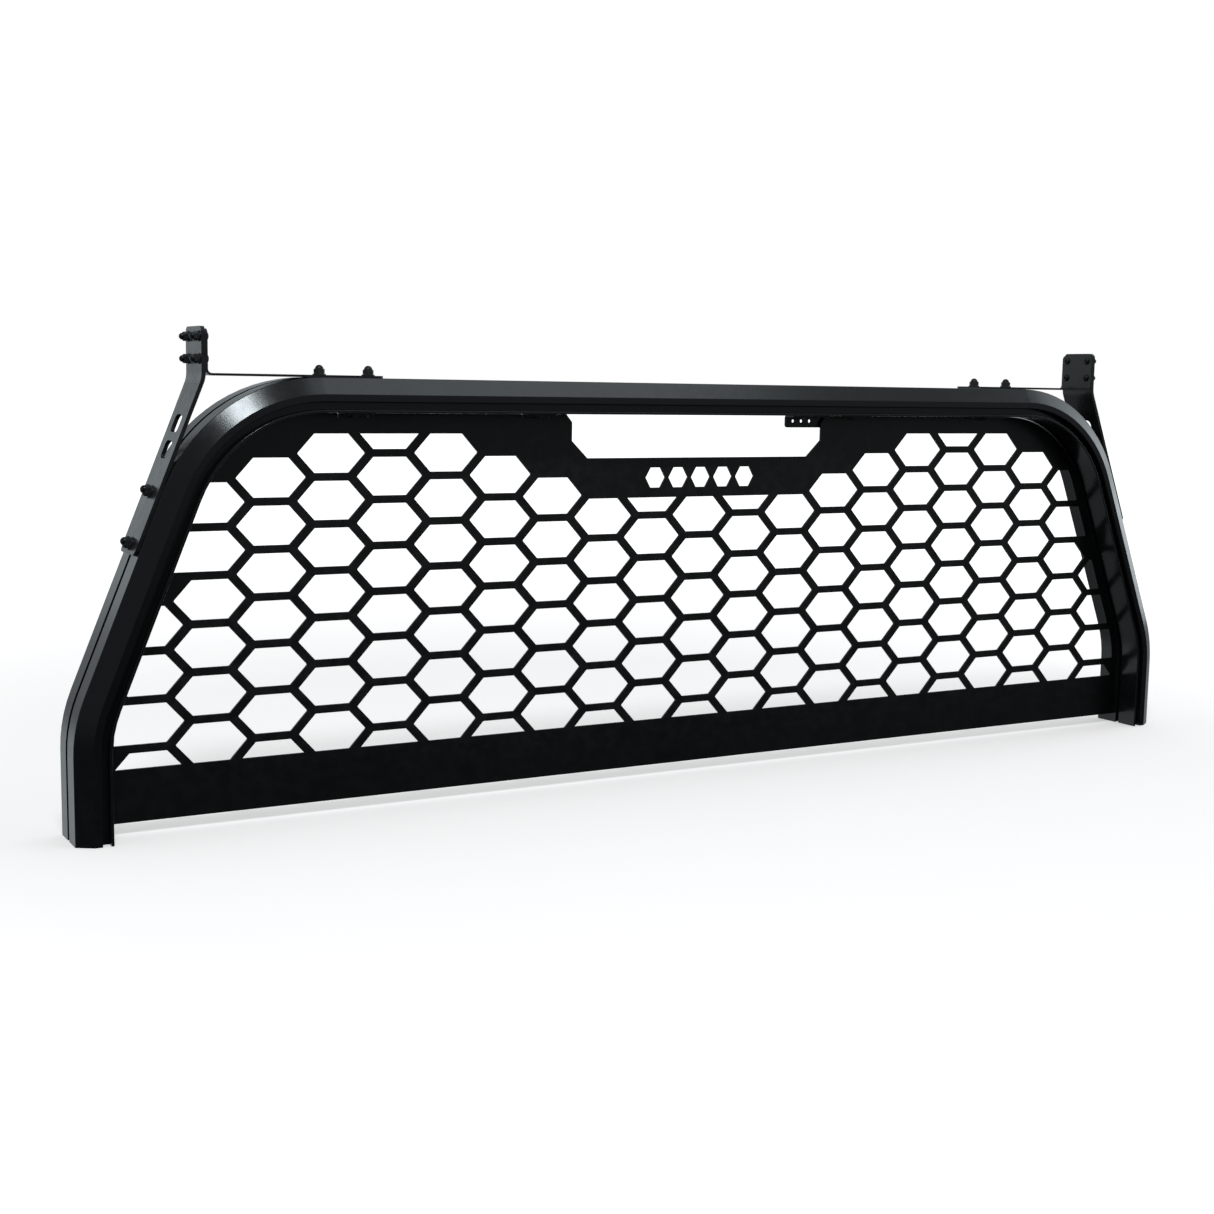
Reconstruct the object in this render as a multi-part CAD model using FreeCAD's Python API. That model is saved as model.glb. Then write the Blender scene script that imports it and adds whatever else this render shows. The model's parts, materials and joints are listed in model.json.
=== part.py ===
import FreeCAD, Part
import math, os
from FreeCAD import Vector as V, Placement, Rotation

os.makedirs("parts", exist_ok=True)

# ---------------------------------------------------------------- dimensions, mm
# Origin: centre of the footprint on the ground. X across the vehicle, Y to the
# rear, Z up. The front is -Y.

# hoop (outer face of the bent bar)
HALF_W = 898.0        # outer face of a foot from the centre line
H_RAIL = 562.0        # top face of the rail
LEAN = 22.0           # inward lean of the legs, degrees
Z_KNEE = 144.8        # height where foot line and leg line would meet
R_KNEE = 193.0        # outer radius of the lower bend
R_CORNER = 215.0      # outer radius of the upper corner

# section of the bar: r = distance inward from the outer face, y = depth
DEPTH_F, DEPTH_R = -41.5, 41.5
WIDTH = 43.5
BEVEL_R, BEVEL_Y = 20.7, -28.5
GROOVE_A, GROOVE_B, GROOVE_Y = 30.0, 40.0, -29.5
SLOT_Y = 6.5          # centre of the outer T-slot
SLOT_W, SLOT_LIP, SLOT_CAV_W, SLOT_CAV_D = 8.6, 2.6, 15.0, 8.0
ISLOT_Y = -3.0        # centre of the inner T-slot
ISLOT_W, ISLOT_LIP, ISLOT_CAV_W, ISLOT_CAV_D = 7.0, 2.5, 12.6, 5.5

# screen plate
PL_Y0, PL_Y1 = 4.5, 7.5
PL_GAP = 1.0          # clearance between plate edge and bar
PL_BORDER = 11.5      # solid edge along the legs
BAND_Z0, BAND_Z1 = 15.0, 81.6
CELL_PX, CELL_PZ = 80.0, 30.0      # column pitch, half row pitch
CELL_Z0 = 106.5
CELL_TOP = 491.4      # line where the top solid band starts
CELL_MID = 401.5      # same line under the window
HX_FLAT, HX_TIP, HX_H = 23.3, 46.0, 24.9
WIN_X, WIN_Z0, WIN_CH_X, WIN_CH_Z = 211.5, 457.5, 186.8, 481.3
TAB_X = (268.0, 531.0)
TAB_W, TAB_L, TAB_T = 40.0, 27.0, 3.0

# load stops
STOP_W = 64.0         # width of post and strap along Y
POST_T, STRAP_T = 5.0, 3.0
POST_X = 731.0        # inner face of the upright part
POST_TOP, POST_LEN = 621.0, 229.1
STRAP_IN, FLANGE_TOP = 500.0, 618.0
STOP_BOLT_Y, STOP_BOLT_Z = 22.0, (582.0, 609.0)
RAIL_BOLT_X = (509.5, 575.5)
LEG_BOLT_Z = (357.5, 419.6)
POST_SLOT_Z = (470.5, 502.2)
POST_SLOT_W, POST_SLOT_H, POST_SLOT_R = 28.0, 23.5, 7.0

# light bracket behind the window
LB_X0, LB_X1 = 150.0, 208.0

TL = math.radians(LEAN)


# ---------------------------------------------------------------- helpers
def in_xy(x, y):
    return V(x, y, 0)


def in_xz(x, z):
    return V(x, 0, z)


def in_yz(y, z):
    return V(0, y, z)


def wire(pts, to3d=in_xy):
    """Closed outline from (a, b, radius) points; radius rounds that corner."""
    n = len(pts)
    P = [to3d(p[0], p[1]) for p in pts]
    R = [p[2] if len(p) > 2 else 0 for p in pts]
    ends = []
    for i in range(n):
        if R[i] <= 0:
            ends.append((P[i], P[i], None))
            continue
        a = (P[i - 1] - P[i]).normalize()
        b = (P[(i + 1) % n] - P[i]).normalize()
        ang = a.getAngle(b)
        L = R[i] / math.tan(ang / 2)
        s, e = P[i] + a * L, P[i] + b * L
        c = P[i] + (a + b).normalize() * (R[i] / math.sin(ang / 2))
        m = c + (P[i] - c).normalize() * R[i]
        ends.append((s, e, m))
    edges = []
    for i in range(n):
        s, e, m = ends[i]
        if m is not None:
            edges.append(Part.Arc(s, m, e).toShape())
        nxt = ends[(i + 1) % n][0]
        if (nxt - e).Length > 1e-6:
            edges.append(Part.LineSegment(e, nxt).toShape())
    return Part.Wire(edges)


def face(pts, to3d=in_xy):
    return Part.Face(wire(pts, to3d))


def xz_prism(pts, y0, y1):
    """Solid from an X-Z outline, between two Y planes."""
    f = face(pts, in_xz)
    f.translate(V(0, y0, 0))
    return f.extrude(V(0, y1 - y0, 0))


def mirror_x(s):
    return s.mirror(V(0, 0, 0), V(1, 0, 0))


def along(s, base, direction):
    """Place a shape built along +Z so that it stands on base along direction."""
    r = Rotation(V(0, 0, 1), V(*direction))
    t = s.copy()
    t.Placement = Placement(V(*base), r)
    return t


def save(name, shape):
    solids = shape.Solids
    assert solids, name
    for s in solids:
        assert s.isValid() and s.Volume > 0, name
    out = solids[0] if len(solids) == 1 else Part.makeCompound(solids)
    out.exportStep("parts/%s.step" % name)
    b = out.BoundBox
    print("%-26s %2d solid(s) X %.1f..%.1f Y %.1f..%.1f Z %.1f..%.1f" %
          (name, len(solids), b.XMin, b.XMax, b.YMin, b.YMax, b.ZMin, b.ZMax))


# ---------------------------------------------------------------- hoop geometry
# right half, outer face: knee corner B and top corner C
BX, BZ = HALF_W, Z_KNEE
CX, CZ = BX - (H_RAIL - BZ) * math.tan(TL), H_RAIL
LK = R_KNEE * math.tan(TL / 2)                       # tangent length, knee
LC = R_CORNER / math.tan(math.pi / 2 - (math.pi / 2 - TL) / 2)
KNEE_S = (BX, BZ - LK)
KNEE_E = (BX - LK * math.sin(TL), BZ + LK * math.cos(TL))
KNEE_C = (BX - R_KNEE, BZ - LK)
COR_S = (CX + LC * math.sin(TL), CZ - LC * math.cos(TL))
COR_E = (CX - LC, CZ)
COR_C = (CX - LC, CZ - R_CORNER)


def offset_outline(d, z_low):
    """Inside contour at distance d from the outer face, both sides, as a closed
    list of (x, z, radius) points starting at the lower left."""
    x0 = HALF_W - d
    # leg line moved inward by d
    bx, bz = x0, BZ - d * math.tan(TL / 2)
    zt = H_RAIL - d
    cx = bx - (zt - bz) * math.tan(TL)
    rk, rc = R_KNEE - d, R_CORNER - d
    right = [(x0, z_low, 0), (bx, bz, rk), (cx, zt, rc)]
    left = [(-p[0], p[1], p[2]) for p in right]
    return left + right[::-1]


def section(to3d):
    s0, s1 = SLOT_Y - SLOT_W / 2, SLOT_Y + SLOT_W / 2
    c0, c1 = SLOT_Y - SLOT_CAV_W / 2, SLOT_Y + SLOT_CAV_W / 2
    sd = SLOT_LIP + SLOT_CAV_D
    i0, i1 = ISLOT_Y - ISLOT_W / 2, ISLOT_Y + ISLOT_W / 2
    k0, k1 = ISLOT_Y - ISLOT_CAV_W / 2, ISLOT_Y + ISLOT_CAV_W / 2
    ia, ib = WIDTH - ISLOT_LIP, WIDTH - ISLOT_LIP - ISLOT_CAV_D
    out = [(0, BEVEL_Y, 1.2), (0, s0), (SLOT_LIP, s0), (SLOT_LIP, c0), (sd, c0),
           (sd, c1), (SLOT_LIP, c1), (SLOT_LIP, s1), (0, s1), (0, DEPTH_R, 2.0),
           (WIDTH, DEPTH_R, 2.0), (WIDTH, i1), (ia, i1), (ia, k1), (ib, k1),
           (ib, k0), (ia, k0), (ia, i0), (WIDTH, i0), (WIDTH, DEPTH_F, 0.9),
           (GROOVE_B, DEPTH_F, 0.9), (GROOVE_B, GROOVE_Y, 0.8),
           (GROOVE_A, GROOVE_Y, 0.8), (GROOVE_A, DEPTH_F, 1.0),
           (BEVEL_R, DEPTH_F, 1.2)]
    w = wire(out, to3d)
    void = [(3.4, -26.9), (21.6, -38.2), (26.9, -38.2), (26.9, -26.2),
            (40.2, -26.2), (40.2, k0 - 3), (ib - 3, k0 - 3), (ib - 3, k1 + 3),
            (40.2, k1 + 3), (40.2, 38.2), (3.4, 38.2), (3.4, c1 + 3),
            (sd + 3, c1 + 3), (sd + 3, c0 - 3), (3.4, c0 - 3)]
    f = Part.Face([w, wire(void, to3d)])
    if f.Area > w.Length * 8:
        raise ValueError("void not cut")
    return f


def place_section(origin, inward):
    """Section face standing on the outer face at origin (x, z), with r along the
    inward direction and y along +Y."""
    ox, oz = origin
    ix, iz = inward
    return section(lambda r, y: V(ox + ix * r, y, oz + iz * r))


def build_frame():
    runs = []
    # foot, right
    f = place_section((HALF_W, 0), (-1, 0))
    runs.append(f.extrude(V(0, 0, KNEE_S[1])))
    f = place_section(KNEE_S, (-1, 0))
    runs.append(f.revolve(V(KNEE_C[0], 0, KNEE_C[1]), V(0, -1, 0), LEAN))
    inw = (-math.cos(TL), -math.sin(TL))
    f = place_section(KNEE_E, inw)
    runs.append(f.extrude(V(COR_S[0] - KNEE_E[0], 0, COR_S[1] - KNEE_E[1])))
    f = place_section(COR_S, inw)
    runs.append(f.revolve(V(COR_C[0], 0, COR_C[1]), V(0, -1, 0), 90 - LEAN))
    left = [mirror_x(s) for s in runs]
    f = place_section(COR_E, (0, -1))
    rail = f.extrude(V(-2 * COR_E[0], 0, 0))
    solids = runs + left + [rail]
    for s in solids:
        assert s.isValid(), "run"
    body = solids[0].fuse(solids[1:]).removeSplitter()
    assert len(body.Solids) == 1, len(body.Solids)
    return body


# ---------------------------------------------------------------- screen
def hexagon(x, z, flat, tip, h, r=1.6):
    return [(x - tip, z, r), (x - flat, z - h, r), (x + flat, z - h, r),
            (x + tip, z, r), (x + flat, z + h, r), (x - flat, z + h, r)]


def edge_cell(side, x, z):
    """Cell whose flats run on to the leg instead of closing in a point."""
    far = x + side * 140
    return [(x - side * HX_TIP, z, 1.6), (x - side * HX_FLAT, z - HX_H, 1.6), (far, z - HX_H, 0),
            (far, z + HX_H, 0), (x - side * HX_FLAT, z + HX_H, 1.6)]


def build_screen():
    z_top = H_RAIL - WIDTH
    # outline: legs and corners follow the bar, the window opens the top edge
    pts = offset_outline(WIDTH + PL_GAP, BAND_Z0)
    zt = pts[2][1]
    top = []
    for x in (-TAB_X[1], -TAB_X[0]):
        w = TAB_W / 2 + 0.8
        top += [(x - w, zt, 0), (x - w, zt - 6, 0.3), (x + w, zt - 6, 0.3), (x + w, zt, 0)]
    top += [(-WIN_X - 9.0, zt, 0), (-WIN_X, 507.0, 1.5), (-WIN_X, WIN_CH_Z, 1.5),
            (-WIN_CH_X, WIN_Z0, 1.5)]
    top += [(-p[0], p[1], p[2]) for p in top[::-1]]
    outline = pts[:3] + top + pts[3:]
    rows = {0: [-1, 1, 3, 5, 7, 9], 1: [0, 2, 4, 6, 8, 10], 2: [-1, 1, 3, 5, 7, 9],
            3: [0, 2, 4, 6, 8, 10], 4: [-1, 1, 3, 5, 7, 9, 11],
            5: [0, 2, 4, 6, 8, 10, 12], 6: [-1, 1, 3, 5, 7, 9, 11, 13],
            7: [0, 2, 4, 6, 8, 10, 12], 8: [-1, 1, 3, 5, 7, 9, 11],
            9: [0, 2, 4, 6, 8, 10], 10: [-1, 1, 3, 5]}
    # region in which cells may open
    region = face(offset_outline(WIDTH + PL_GAP + PL_BORDER, BAND_Z1), in_xz)
    region = region.common(xz_prism([(-1000, BAND_Z1), (1000, BAND_Z1), (1000, CELL_TOP), (-1000, CELL_TOP)], -1, 1))
    wires = []
    for c, hs in rows.items():
        for sx in ((1,) if c == 0 else (1, -1)):
            for h in hs:
                x, z = sx * c * CELL_PX, CELL_Z0 + h * CELL_PZ
                hx = edge_cell(sx, x, z) if (c, h) in ((9, 8), (10, 1)) else hexagon(x, z, HX_FLAT, HX_TIP, HX_H)
                if c == 1 and h == 10:
                    f = face(hx, in_xz).common(xz_prism([(x - 90, CELL_MID - 90), (x + 90, CELL_MID - 90), (x + 90, CELL_MID), (x - 90, CELL_MID)], -1, 1))
                    wires += [g.OuterWire for g in f.Faces if g.Area > 60]
                elif h == -1 or h >= 12 or c >= 9:
                    f = face(hx, in_xz).common(region)
                    wires += [g.OuterWire for g in f.Faces if g.Area > 60]
                else:
                    wires.append(wire(hx, in_xz))
    # plain perforations under the window
    for i in range(-2, 3):
        wires.append(wire(hexagon(i * 38.0, 429.5, 8.2, 16.4, 14.2, 1.2), in_xz))
    base = face(outline, in_xz)
    f = base.cut(Part.makeCompound([Part.Face(w) for w in wires]))
    assert len(f.Faces) == 1, len(f.Faces)
    f = f.Faces[0]
    f.translate(V(0, PL_Y0, 0))
    plate = f.extrude(V(0, PL_Y1 - PL_Y0, 0))
    # bent tabs that carry the plate under the rail
    ri, t = 2.0, TAB_T
    tabs = []
    for sx in (1, -1):
        for x in TAB_X:
            sec = [(PL_Y1, z_top - 14, 0), (PL_Y1, z_top, ri + t),
                   (PL_Y0 - TAB_L, z_top, 0), (PL_Y0 - TAB_L, z_top - t, 0),
                   (PL_Y0, z_top - t, ri), (PL_Y0, z_top - 14, 0)]
            g = face(sec, in_yz)
            g.translate(V(sx * x - TAB_W / 2, 0, 0))
            tab = g.extrude(V(TAB_W, 0, 0))
            sel = [e for e in tab.Edges if abs(e.Length - t) < 1e-6 and e.BoundBox.YMax < PL_Y0 - TAB_L + 0.1]
            tab = tab.makeFillet(4.0, sel)
            tabs.append(tab.cut(Part.makeCylinder(3.3, 12, V(sx * x, ISLOT_Y, z_top - 8))))
    plate = plate.fuse(tabs).removeSplitter()
    assert len(plate.Solids) == 1, len(plate.Solids)
    return plate.Solids[0]


# ---------------------------------------------------------------- fasteners
def hex_prism(af, h):
    r = af / math.sqrt(3)
    pts = [(r * math.cos(math.radians(60 * i)), r * math.sin(math.radians(60 * i))) for i in range(6)]
    s = Part.Face(wire(pts)).extrude(V(0, 0, h))
    # turned chamfer at both faces
    c = 0.10 * af
    prof = [(0, 0), (af / 2 - 0.1, 0), (r + 0.2, c), (r + 0.2, h - c), (af / 2 - 0.1, h), (0, h)]
    rev = face(prof, in_xz).revolve(V(0, 0, 0), V(0, 0, 1), 360)
    return s.common(rev)


def acorn(af, h_hex, h_all, bore_r, bore_d):
    body = hex_prism(af, h_hex)
    rd = af * 0.42
    z1 = h_all - rd
    prof = Part.Wire([
        Part.LineSegment(V(0, 0, h_hex - 1), V(rd, 0, h_hex - 1)).toShape(),
        Part.LineSegment(V(rd, 0, h_hex - 1), V(rd, 0, z1)).toShape(),
        Part.Arc(V(rd, 0, z1), V(rd * math.cos(math.pi / 4), 0, z1 + rd * math.sin(math.pi / 4)), V(0, 0, h_all)).toShape(),
        Part.LineSegment(V(0, 0, h_all), V(0, 0, h_hex - 1)).toShape()])
    dome = Part.Face(prof).revolve(V(0, 0, 0), V(0, 0, 1), 360)
    s = body.fuse(dome).cut(Part.makeCylinder(bore_r, bore_d, V(0, 0, -0.01)))
    return s.removeSplitter()


def washer(od, idd, t):
    s = Part.makeCylinder(od / 2, t).cut(Part.makeCylinder(idd / 2, t + 2, V(0, 0, -1)))
    return s.makeChamfer(0.25, [e for e in s.Edges if isinstance(e.Curve, Part.Circle) and abs(e.Curve.Radius - od / 2) < 1e-3])


def tee_bolt(neck_r, shank_len, head_x, head_y, head_t):
    """Head top at z=0, shank up +Z, head along local X."""
    h = Part.makeBox(head_x, head_y, head_t, V(-head_x / 2, -head_y / 2, -head_t))
    h = h.makeFillet(1.0, [e for e in h.Edges if abs(e.Length - head_t) < 1e-6])
    s = Part.makeCylinder(neck_r, shank_len)
    s = s.makeChamfer(0.8, [e for e in s.Edges if isinstance(e.Curve, Part.Circle) and e.BoundBox.ZMin > shank_len - 0.1])
    return h.fuse(s).removeSplitter()


def button_screw(head_r, head_h, r, length):
    """Underside of the head at z=0, shank towards +Z, head towards -Z, hex socket."""
    prof = Part.Wire([
        Part.LineSegment(V(0, 0, 0), V(head_r, 0, 0)).toShape(),
        Part.LineSegment(V(head_r, 0, 0), V(head_r, 0, -head_h * 0.28)).toShape(),
        Part.Arc(V(head_r, 0, -head_h * 0.28), V(head_r * 0.82, 0, -head_h * 0.78), V(head_r * 0.45, 0, -head_h)).toShape(),
        Part.LineSegment(V(head_r * 0.45, 0, -head_h), V(0, 0, -head_h)).toShape(),
        Part.LineSegment(V(0, 0, -head_h), V(0, 0, 0)).toShape()])
    head = Part.Face(prof).revolve(V(0, 0, 0), V(0, 0, 1), 360)
    shank = Part.makeCylinder(r, length)
    s = head.fuse(shank)
    a = r * 0.62
    pts = [(a * math.cos(math.radians(60 * i)), a * math.sin(math.radians(60 * i))) for i in range(6)]
    sock = Part.Face(wire(pts)).extrude(V(0, 0, head_h * 0.62))
    sock.translate(V(0, 0, -head_h - 0.01))
    return s.cut(sock).removeSplitter()


# ---------------------------------------------------------------- load stops
def build_post():
    """Right hand post, made of an X-Z outline across the plate thickness."""
    tl = math.tan(TL)
    zb = BZ + (BX - POST_X) / tl             # height where the two inner lines meet
    ux, uz = math.sin(TL), -math.cos(TL)     # down the lean
    nx, nz = math.cos(TL), math.sin(TL)      # outward normal of the lean
    # inner corner B1, outer corner B2 of the bend
    b1 = (POST_X, zb)
    x2 = POST_X + POST_T
    # outer line passes through b1 + n*T
    k = (x2 - (b1[0] + nx * POST_T)) / ux
    b2 = (x2, b1[1] + nz * POST_T + uz * k)
    e1 = (b1[0] + ux * POST_LEN, b1[1] + uz * POST_LEN)
    e2 = (e1[0] + nx * POST_T, e1[1] + nz * POST_T)
    pts = [(POST_X, POST_TOP, 0), (b1[0], b1[1], 30), (e1[0], e1[1], 0),
           (e2[0], e2[1], 0), (b2[0], b2[1], 35), (x2, POST_TOP, 0)]
    y0, y1 = SLOT_Y - STOP_W / 2, SLOT_Y + STOP_W / 2
    s = xz_prism(pts, y0, y1)
    # rounded corners, top and lower end
    sel = []
    for e in s.Edges:
        a, b = e.Vertexes[0].Point, e.Vertexes[-1].Point
        m = (a + b) * 0.5
        if abs(e.Length - POST_T) < 1e-3 and (abs(m.y - y0) < 1e-3 or abs(m.y - y1) < 1e-3):
            sel.append(e)
    s = s.makeFillet(8.0, sel)
    for z in STOP_BOLT_Z:
        for dy in (-STOP_BOLT_Y, STOP_BOLT_Y):
            s = s.cut(Part.makeCylinder(3.3, 30, V(POST_X - 10, SLOT_Y + dy, z), V(1, 0, 0)))
    for z in LEG_BOLT_Z:
        x = BX - (z - BZ) * tl
        s = s.cut(Part.makeCylinder(4.4, 30, V(x - nx * 10, SLOT_Y, z - nz * 10), V(nx, 0, nz)))
    for z in POST_SLOT_Z:
        x = BX - (z - BZ) * tl
        b = Part.makeBox(POST_SLOT_H, POST_SLOT_W, 30, V(-POST_SLOT_H / 2, -POST_SLOT_W / 2, -10))
        b = b.makeFillet(POST_SLOT_R, [e for e in b.Edges if abs(e.Length - 30) < 1e-6])
        b.Placement = Placement(V(x, SLOT_Y, z), Rotation(V(ux, 0, uz), V(0, 1, 0), V(nx, 0, nz), "ZXY"))
        s = s.cut(b)
    return s.removeSplitter()


def build_strap():
    ri = 5.0
    z0, z1 = H_RAIL, H_RAIL + STRAP_T
    xf = POST_X
    pts = [(STRAP_IN, z0, 0), (xf, z0, ri + STRAP_T), (xf, FLANGE_TOP, 0),
           (xf - STRAP_T, FLANGE_TOP, 0), (xf - STRAP_T, z1, ri), (STRAP_IN, z1, 0)]
    y0, y1 = SLOT_Y - STOP_W / 2, SLOT_Y + STOP_W / 2
    s = xz_prism(pts, y0, y1)
    sel = []
    for e in s.Edges:
        m = (e.Vertexes[0].Point + e.Vertexes[-1].Point) * 0.5
        if abs(e.Length - STRAP_T) < 1e-3 and (abs(m.y - y0) < 1e-3 or abs(m.y - y1) < 1e-3):
            sel.append(e)
    s = s.makeFillet(7.0, sel)
    for z in STOP_BOLT_Z:
        for dy in (-STOP_BOLT_Y, STOP_BOLT_Y):
            s = s.cut(Part.makeCylinder(3.3, 30, V(xf - 15, SLOT_Y + dy, z), V(1, 0, 0)))
    for x in RAIL_BOLT_X:
        s = s.cut(Part.makeCylinder(4.4, 12, V(x, SLOT_Y, z0 - 4)))
    return s.removeSplitter()


def build_all():
    frame = build_frame()
    save("main_frame", frame)
    save("mesh_screen", build_screen())

    post, strap = build_post(), build_strap()
    nx, nz = math.cos(TL), math.sin(TL)
    tl = math.tan(TL)

    # M6 set through post and flange
    screws, washers, nuts = [], [], []
    for z in STOP_BOLT_Z:
        for dy in (-STOP_BOLT_Y, STOP_BOLT_Y):
            y = SLOT_Y + dy
            screws.append(along(button_screw(5.4, 3.4, 2.95, 16.8), (POST_X - STRAP_T, y, z), (1, 0, 0)))
            washers.append(along(washer(13.0, 6.4, 1.6), (POST_X + POST_T, y, z), (1, 0, 0)))
            nuts.append(along(acorn(10.0, 5.2, 9.8, 3.05, 7.6), (POST_X + POST_T + 1.6, y, z), (1, 0, 0)))
    # M8 set on the rail
    rb, rw, rn = [], [], []
    for x in RAIL_BOLT_X:
        b = tee_bolt(3.95, SLOT_LIP + STRAP_T + 1.6 + 8.2, 18.0, 13.6, 5.0)
        b.translate(V(x, SLOT_Y, H_RAIL - SLOT_LIP))
        rb.append(b)
        rw.append(along(washer(17.0, 8.4, 1.6), (x, SLOT_Y, H_RAIL + STRAP_T), (0, 0, 1)))
        rn.append(along(acorn(13.0, 6.2, 11.2, 4.05, 8.6), (x, SLOT_Y, H_RAIL + STRAP_T + 1.6), (0, 0, 1)))
    # M8 set on the leg
    lb, lw, ln = [], [], []
    rot = Rotation(V(math.sin(TL), 0, -math.cos(TL)), V(0, 1, 0), V(nx, 0, nz), "ZXY")
    for z in LEG_BOLT_Z:
        x = BX - (z - BZ) * tl
        b = tee_bolt(3.95, SLOT_LIP + POST_T + 1.6 + 8.2, 18.0, 13.6, 5.0)
        b.Placement = Placement(V(x - nx * SLOT_LIP, SLOT_Y, z - nz * SLOT_LIP), rot)
        lb.append(b)
        o = POST_T
        w = washer(17.0, 8.4, 1.6)
        w.Placement = Placement(V(x + nx * o, SLOT_Y, z + nz * o), rot)
        lw.append(w)
        o = POST_T + 1.6
        a = acorn(13.0, 6.2, 11.2, 4.05, 8.6)
        a.Placement = Placement(V(x + nx * o, SLOT_Y, z + nz * o), rot)
        ln.append(a)

    sets = [("load_stop_post", [post]), ("load_stop_strap", [strap]),
            ("stop_screws", screws), ("stop_washers", washers), ("stop_nuts", nuts),
            ("rail_tee_bolts", rb), ("rail_washers", rw), ("rail_nuts", rn),
            ("leg_tee_bolts", lb), ("leg_washers", lw), ("leg_nuts", ln)]
    for name, solids in sets:
        c = Part.makeCompound(solids)
        save(name + "_right", c)
        save(name + "_left", mirror_x(c))

    # fixings of the screen tabs, in the inner T-slot of the rail
    z_under = H_RAIL - WIDTH
    lip_in = z_under + ISLOT_LIP
    scr, tee = [], []
    for sx in (1, -1):
        for x in TAB_X:
            scr.append(along(button_screw(5.4, 3.2, 2.95, TAB_T + ISLOT_LIP + 3.6), (sx * x, ISLOT_Y, z_under - TAB_T), (0, 0, 1)))
            t = Part.makeBox(16, 11.4, 4.6, V(sx * x - 8, ISLOT_Y - 5.7, lip_in))
            t = t.cut(Part.makeCylinder(3.05, 8, V(sx * x, ISLOT_Y, lip_in - 1)))
            tee.append(t)
    save("screen_screws", Part.makeCompound(scr))
    save("screen_tee_nuts", Part.makeCompound(tee))

    # light bracket: angle under the rail, hangs behind the window, slides in X
    xm = (LB_X0 + LB_X1) / 2
    zt, g = z_under - 0.3, 0.3
    y_back, t = 12.0, 2.5
    pts = [(y_back, zt - 18.0, 0), (y_back, zt, 1.5 + t), (-13.0, zt, 0),
           (-13.0, zt - t, 0), (y_back - t, zt - t, 1.5), (y_back - t, zt - 18.0, 0)]
    f = face(pts, in_yz)
    f.translate(V(LB_X0, 0, 0))
    lb_s = f.extrude(V(LB_X1 - LB_X0, 0, 0))
    # the hanging leaf runs on past the foot as a cable tongue
    lb_s = lb_s.fuse(Part.makeBox(18.0, t, 18.0, V(LB_X1, y_back - t, zt - 18.0))).removeSplitter()
    sel = []
    for e in lb_s.Edges:
        if abs(e.Length - t) < 1e-3:
            c = e.CenterOfMass
            if c.x < LB_X0 + 0.1 or c.x > LB_X1 + 17.9 or c.y < -12.9:
                sel.append(e)
    lb_s = lb_s.makeFillet(4.0, sel)
    for dx in (-15.0, 0.0, 15.0):
        lb_s = lb_s.cut(Part.makeCylinder(2.6, 10, V(xm + dx, y_back + 3, zt - 8.5), V(0, -1, 0)))
    lb_s = lb_s.cut(Part.makeCylinder(3.3, 10, V(xm, ISLOT_Y, zt - 6)))
    save("light_bracket", lb_s)
    s = along(button_screw(5.4, 3.2, 2.95, t + g + ISLOT_LIP + g + 3.4), (xm, ISLOT_Y, zt - t), (0, 0, 1))
    save("light_bracket_screw", s)
    tn = Part.makeBox(18, 11.4, 4.4, V(xm - 9, ISLOT_Y - 5.7, lip_in + g))
    tn = tn.cut(Part.makeCylinder(3.05, 8, V(xm, ISLOT_Y, lip_in - 1)))
    save("light_bracket_tee_nut", tn)


build_all()
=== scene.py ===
import bpy, bmesh, math, json
from mathutils import Vector, Matrix

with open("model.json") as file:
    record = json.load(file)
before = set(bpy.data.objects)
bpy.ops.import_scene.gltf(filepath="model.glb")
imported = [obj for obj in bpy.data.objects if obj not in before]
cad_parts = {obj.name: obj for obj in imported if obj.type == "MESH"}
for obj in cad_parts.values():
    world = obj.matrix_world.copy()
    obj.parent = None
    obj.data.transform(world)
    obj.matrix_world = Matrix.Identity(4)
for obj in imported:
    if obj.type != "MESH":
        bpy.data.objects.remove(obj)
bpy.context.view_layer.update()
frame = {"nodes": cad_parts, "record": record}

nodes = frame["nodes"]
sc = bpy.context.scene


# ------------------------------------------------------------------ camera
# place and lens follow the viewing angle of the picture
cam_data = bpy.data.cameras.new("camera")
cam_data.sensor_width = 36.0
cam_data.lens = 51.09
cam = bpy.data.objects.new("camera", cam_data)
sc.collection.objects.link(cam)
right = Vector((0.8669, -0.4982, 0.0165)).normalized()
fwd = Vector((0.4960, 0.8588, -0.1286)).normalized()
up = right.cross(fwd).normalized()
right = fwd.cross(up).normalized()
cam.matrix_world = Matrix((
    (right.x, up.x, -fwd.x, -1.3534),
    (right.y, up.y, -fwd.y, -2.0761),
    (right.z, up.z, -fwd.z, 0.5602),
    (0, 0, 0, 1)))
cam_data.clip_start, cam_data.clip_end = 0.05, 200
sc.camera = cam
sc.view_settings.view_transform = "Standard"


# ------------------------------------------------------------------ materials
def new_mat(name):
    m = bpy.data.materials.new(name)
    m.use_nodes = True
    nt = m.node_tree
    nt.nodes.clear()
    out = nt.nodes.new("ShaderNodeOutputMaterial")
    bsdf = nt.nodes.new("ShaderNodeBsdfPrincipled")
    nt.links.new(bsdf.outputs["BSDF"], out.inputs["Surface"])
    return m, nt, bsdf


def noise(nt, coord, scale, detail=2.0, rough=0.5):
    n = nt.nodes.new("ShaderNodeTexNoise")
    n.inputs["Scale"].default_value = scale
    n.inputs["Detail"].default_value = detail
    n.inputs["Roughness"].default_value = rough
    nt.links.new(coord, n.inputs["Vector"])
    return n.outputs["Fac"]


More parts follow.
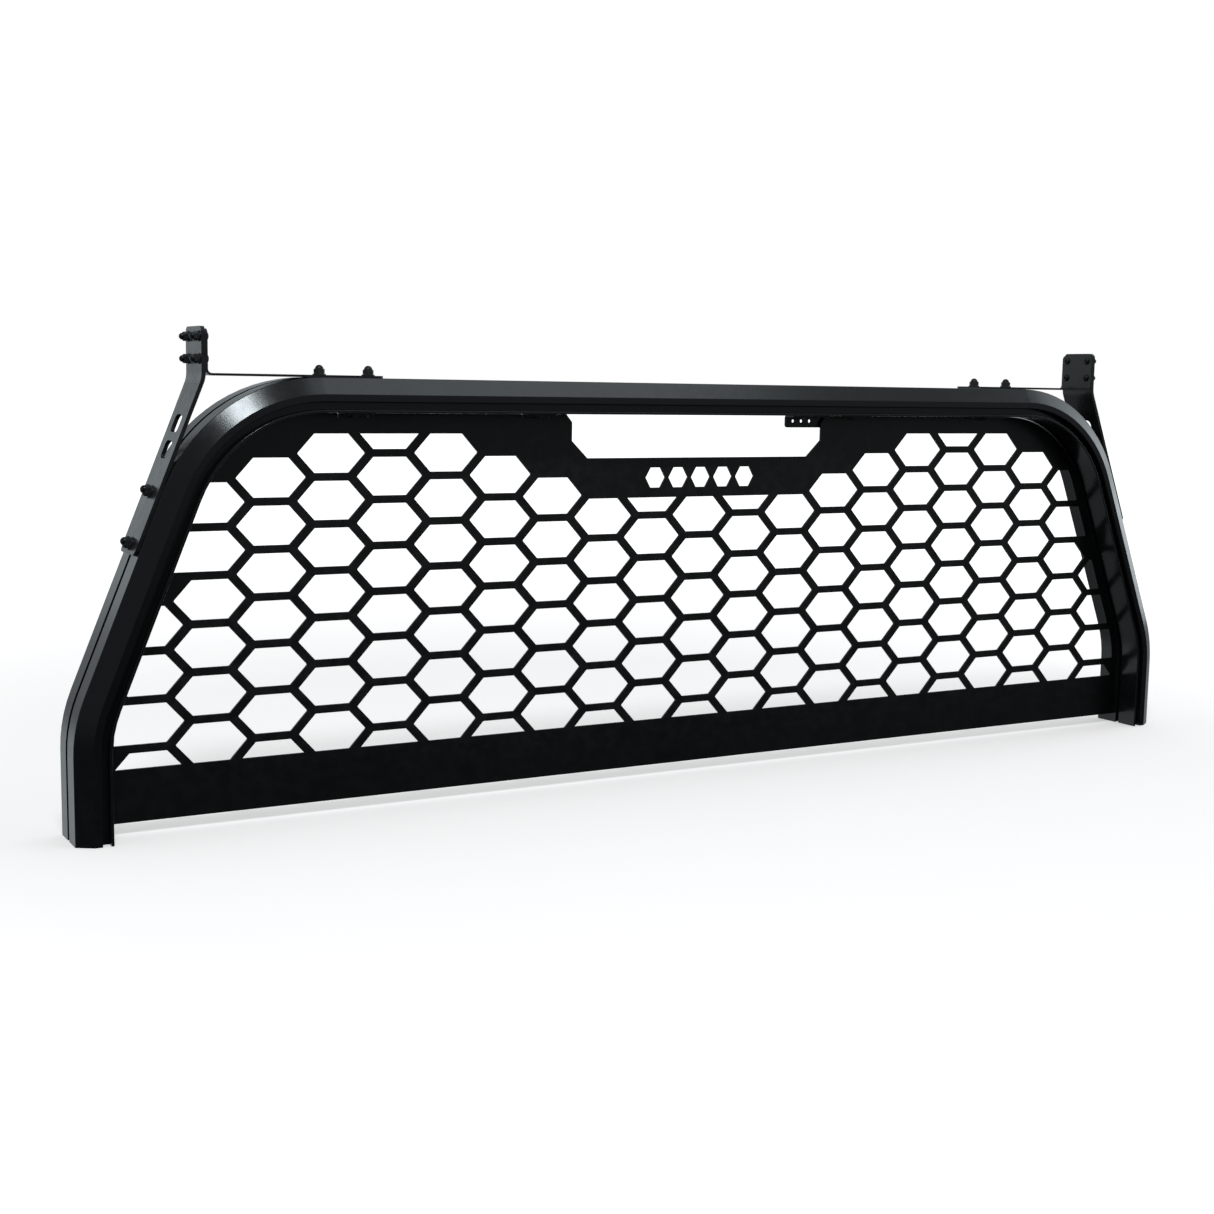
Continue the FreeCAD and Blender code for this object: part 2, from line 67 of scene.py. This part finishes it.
def remap(nt, fac, a, b, lo=0.0, hi=1.0):
    r = nt.nodes.new("ShaderNodeMapRange")
    r.inputs["From Min"].default_value = lo
    r.inputs["From Max"].default_value = hi
    r.inputs["To Min"].default_value = a
    r.inputs["To Max"].default_value = b
    nt.links.new(fac, r.inputs["Value"])
    return r.outputs["Result"]


def math_node(nt, op, a, b):
    n = nt.nodes.new("ShaderNodeMath")
    n.operation = op
    for i, v in enumerate((a, b)):
        if isinstance(v, (int, float)):
            n.inputs[i].default_value = v
        else:
            nt.links.new(v, n.inputs[i])
    return n.outputs[0]


def mix_col(nt, fac, a, b):
    n = nt.nodes.new("ShaderNodeMix")
    n.data_type = "RGBA"
    if isinstance(fac, (int, float)):
        n.inputs["Factor"].default_value = fac
    else:
        nt.links.new(fac, n.inputs["Factor"])
    for k, v in (("A", a), ("B", b)):
        s = [i for i in n.inputs if i.name == k and i.type == "RGBA"][0]
        if isinstance(v, tuple):
            s.default_value = (*v, 1.0)
        else:
            nt.links.new(v, s)
    return [o for o in n.outputs if o.type == "RGBA"][0]


def coat(name, base, light, rough, rough_var, grain_scale, grain_dist, peel_scale, peel_dist,
         speck=0.0, edge=0.35, edge_col=(0.10, 0.10, 0.105), spec=0.5):
    """Powder coat: fine grain and soft orange peel in the bump, faint cloudy change
    of tone and gloss, and a lighter, rougher line along the sharp convex edges."""
    m, nt, bsdf = new_mat(name)
    tc = nt.nodes.new("ShaderNodeTexCoord").outputs["Object"]
    cloud = noise(nt, tc, 9.0, 3.0, 0.55)
    mid = noise(nt, tc, 70.0, 3.0, 0.6)
    grain = noise(nt, tc, grain_scale, 2.0, 0.6)
    peel = noise(nt, tc, peel_scale, 1.0, 0.4)
    col = mix_col(nt, remap(nt, cloud, 0.0, 1.0, 0.2, 0.8), base, light)
    if speck:
        sp = remap(nt, grain, 0.0, speck, 0.56, 0.72)
        col = mix_col(nt, sp, col, (0.16, 0.16, 0.165))
    geo = nt.nodes.new("ShaderNodeNewGeometry")
    # lighter, rougher colour along the sharp convex edges, picked out by pointiness
    convex_edge_mask = remap(nt, geo.outputs["Pointiness"], 0.0, 1.0, 0.53, 0.62)
    convex_edge_mask = math_node(nt, "MULTIPLY", convex_edge_mask, remap(nt, mid, 0.2, 1.0, 0.42, 0.62))
    convex_edge_mask = math_node(nt, "MULTIPLY", convex_edge_mask, edge)
    col = mix_col(nt, convex_edge_mask, col, edge_col)
    nt.links.new(col, bsdf.inputs["Base Color"])
    r = remap(nt, mid, rough - rough_var, rough + rough_var, 0.3, 0.7)
    r2 = remap(nt, cloud, -rough_var * 0.6, rough_var * 0.6, 0.35, 0.65)
    r = math_node(nt, "ADD", r, r2)
    r = math_node(nt, "ADD", r, math_node(nt, "MULTIPLY", convex_edge_mask, 0.12))
    nt.links.new(r, bsdf.inputs["Roughness"])
    bsdf.inputs["Specular IOR Level"].default_value = spec
    b1 = nt.nodes.new("ShaderNodeBump")
    b1.inputs["Distance"].default_value = peel_dist
    b1.inputs["Strength"].default_value = 1.0
    nt.links.new(peel, b1.inputs["Height"])
    b2 = nt.nodes.new("ShaderNodeBump")
    b2.inputs["Distance"].default_value = grain_dist
    b2.inputs["Strength"].default_value = 1.0
    nt.links.new(grain, b2.inputs["Height"])
    nt.links.new(b1.outputs["Normal"], b2.inputs["Normal"])
    nt.links.new(b2.outputs["Normal"], bsdf.inputs["Normal"])
    return m


def plated(name):
    """Black oxide and zinc on fasteners: dark, a little metallic, oily mottling."""
    m, nt, bsdf = new_mat(name)
    tc = nt.nodes.new("ShaderNodeTexCoord").outputs["Object"]
    mott = noise(nt, tc, 260.0, 3.0, 0.6)
    fine = noise(nt, tc, 1500.0, 2.0, 0.5)
    geo = nt.nodes.new("ShaderNodeNewGeometry")
    # lighter colour along the sharp convex edges, picked out by pointiness
    convex_edge_mask = remap(nt, geo.outputs["Pointiness"], 0.0, 1.0, 0.52, 0.60)
    convex_edge_mask = math_node(nt, "MULTIPLY", convex_edge_mask, 0.45)
    col = mix_col(nt, remap(nt, mott, 0.0, 1.0, 0.35, 0.65), (0.010, 0.010, 0.0105), (0.020, 0.020, 0.021))
    col = mix_col(nt, convex_edge_mask, col, (0.17, 0.17, 0.175))
    nt.links.new(col, bsdf.inputs["Base Color"])
    bsdf.inputs["Metallic"].default_value = 0.55
    bsdf.inputs["Specular IOR Level"].default_value = 0.55
    nt.links.new(remap(nt, mott, 0.24, 0.38, 0.3, 0.7), bsdf.inputs["Roughness"])
    b = nt.nodes.new("ShaderNodeBump")
    b.inputs["Distance"].default_value = 0.00003
    nt.links.new(fine, b.inputs["Height"])
    nt.links.new(b.outputs["Normal"], bsdf.inputs["Normal"])
    return m


m_frame = coat("frame_coat", (0.0066, 0.0068, 0.0073), (0.0082, 0.0085, 0.0091), 0.20, 0.02,
               900.0, 0.000010, 320.0, 0.000025, edge=0.10)
m_screen = coat("screen_coat", (0.0030, 0.0030, 0.0031), (0.0040, 0.0040, 0.0041), 0.34, 0.03,
                1300.0, 0.000035, 420.0, 0.00003, speck=0.012, edge=0.10)
m_bracket = coat("bracket_coat", (0.0065, 0.0065, 0.0069), (0.0085, 0.0085, 0.0090), 0.27, 0.03,
                 1200.0, 0.00003, 380.0, 0.00003, speck=0.02, edge=0.12)
m_bolt = plated("black_plated")

mat_of = {"frame_powder_coat": m_frame, "screen_powder_coat": m_screen,
          "bracket_powder_coat": m_bracket, "black_fastener": m_bolt}
slot_of = {s["node"]: s["material_slot"] for s in frame["record"]["subparts"]}
for name, ob in nodes.items():
    ob.data.materials.clear()
    ob.data.materials.append(mat_of[slot_of[name]])

# ------------------------------------------------------------------ stage
# a plain pale studio floor; it takes the soft shadows and fades to white far out
fw = bpy.data.meshes.new("floor")
bm = bmesh.new()
ring = [bm.verts.new((0.0, 0.0, 0.0))]
steps = (0.5, 1.0, 2.0, 4.0, 8.0, 16.0, 32.0)
loops = []
for r in steps:
    loops.append([bm.verts.new((r * math.cos(2 * math.pi * i / 48), r * math.sin(2 * math.pi * i / 48), 0.0))
                  for i in range(48)])
for i in range(48):
    j = (i + 1) % 48
    bm.faces.new((ring[0], loops[0][i], loops[0][j]))
    for k in range(len(steps) - 1):
        bm.faces.new((loops[k][i], loops[k + 1][i], loops[k + 1][j], loops[k][j]))
bm.to_mesh(fw)
bm.free()
floor = bpy.data.objects.new("floor", fw)
sc.collection.objects.link(floor)
m, nt, bsdf = new_mat("floor_paper")
tc = nt.nodes.new("ShaderNodeTexCoord").outputs["Object"]
nt.links.new(mix_col(nt, noise(nt, tc, 3.0, 2.0), (0.95, 0.87, 0.85), (0.97, 0.89, 0.87)), bsdf.inputs["Base Color"])
bsdf.inputs["Roughness"].default_value = 0.9
bsdf.inputs["Specular IOR Level"].default_value = 0.1
ln = nt.nodes.new("ShaderNodeVectorMath")
ln.operation = "LENGTH"
nt.links.new(tc, ln.inputs[0])
bsdf.inputs["Emission Color"].default_value = (1, 1, 1, 1)
nt.links.new(remap(nt, ln.outputs["Value"], 0.41, 0.90, 1.0, 3.5), bsdf.inputs["Emission Strength"])
fw.materials.append(m)
floor.visible_glossy = False
floor.visible_diffuse = False

# ------------------------------------------------------------------ light
TINT = (0.90, 0.99, 1.03)          # slightly cool studio light
world = bpy.data.worlds.new("studio")
sc.world = world
world.use_nodes = True
wn = world.node_tree
wn.nodes.clear()
wout = wn.nodes.new("ShaderNodeOutputWorld")
bg = wn.nodes.new("ShaderNodeBackground")
wtc = wn.nodes.new("ShaderNodeTexCoord")
sep = wn.nodes.new("ShaderNodeSeparateXYZ")
wn.links.new(wtc.outputs["Generated"], sep.inputs[0])


def step(axis, lo, hi, a, b):
    r = wn.nodes.new("ShaderNodeMapRange")
    r.interpolation_type = "SMOOTHSTEP"
    for k, v in (("From Min", lo), ("From Max", hi), ("To Min", a), ("To Max", b)):
        r.inputs[k].default_value = v
    wn.links.new(sep.outputs[axis], r.inputs["Value"])
    return r.outputs["Result"]


# room glow: dim in front, brighter behind and to the right, with a pale band low at the back
front = math_node(wn, "MULTIPLY", step("Z", -0.12, 0.05, 0.0, 1.0), step("X", -0.2, 0.4, 0.13, 0.26))
glow = math_node(wn, "ADD", step("Y", -0.75, 0.25, 0.03, 0.25), front)
low = math_node(wn, "MULTIPLY", step("Z", -0.16, -0.04, 0.38, 0.0), step("Z", -0.50, -0.28, 0.0, 1.0))
low = math_node(wn, "MULTIPLY", low, step("Y", 0.2, 0.7, 0.0, 1.0))
glow = math_node(wn, "ADD", glow, low)
# the backdrop itself is white
lp = wn.nodes.new("ShaderNodeLightPath")
cam_ray = lp.outputs["Is Camera Ray"]
strength = math_node(wn, "MAXIMUM", glow, cam_ray)
wn.links.new(strength, bg.inputs["Strength"])
wn.links.new(mix_col(wn, cam_ray, TINT, (1.0, 1.0, 1.0)), bg.inputs["Color"])
wn.links.new(bg.outputs[0], wout.inputs["Surface"])


def softbox(name, target, direction, dist, sx, sy, radiance):
    d = Vector(direction).normalized()
    L = bpy.data.lights.new(name, "AREA")
    L.shape = "RECTANGLE"
    L.size, L.size_y = sx, sy
    L.energy = radiance * math.pi * sx * sy
    L.color = TINT
    o = bpy.data.objects.new(name, L)
    sc.collection.objects.link(o)
    o.location = Vector(target) + d * dist
    o.rotation_mode = "QUATERNION"
    o.rotation_quaternion = d.to_track_quat("Z", "Y")
    o.visible_camera = False
    return o


softbox("key", (-0.69, -0.035, 0.53), (-0.183, -0.570, 0.80), 3.2, 0.58, 0.58, 34.0)
softbox("top_fill", (-0.30, -0.035, 0.55), (0.43, -0.40, 0.81), 3.3, 1.5, 1.2, 1.35)
softbox("right_strip", (0.9, 0.0, 0.4), (0.90, 0.0, 0.42), 3.0, 1.9, 2.6, 1.15)
softbox("right_low", (0.87, 0.0, 0.30), (0.96, 0.28, 0.0), 3.0, 0.5, 0.45, 1.4)
softbox("post_card", (-0.75, 0.0, 0.55), (-0.24, 0.96, 0.09), 3.1, 1.5, 0.7, 0.42)
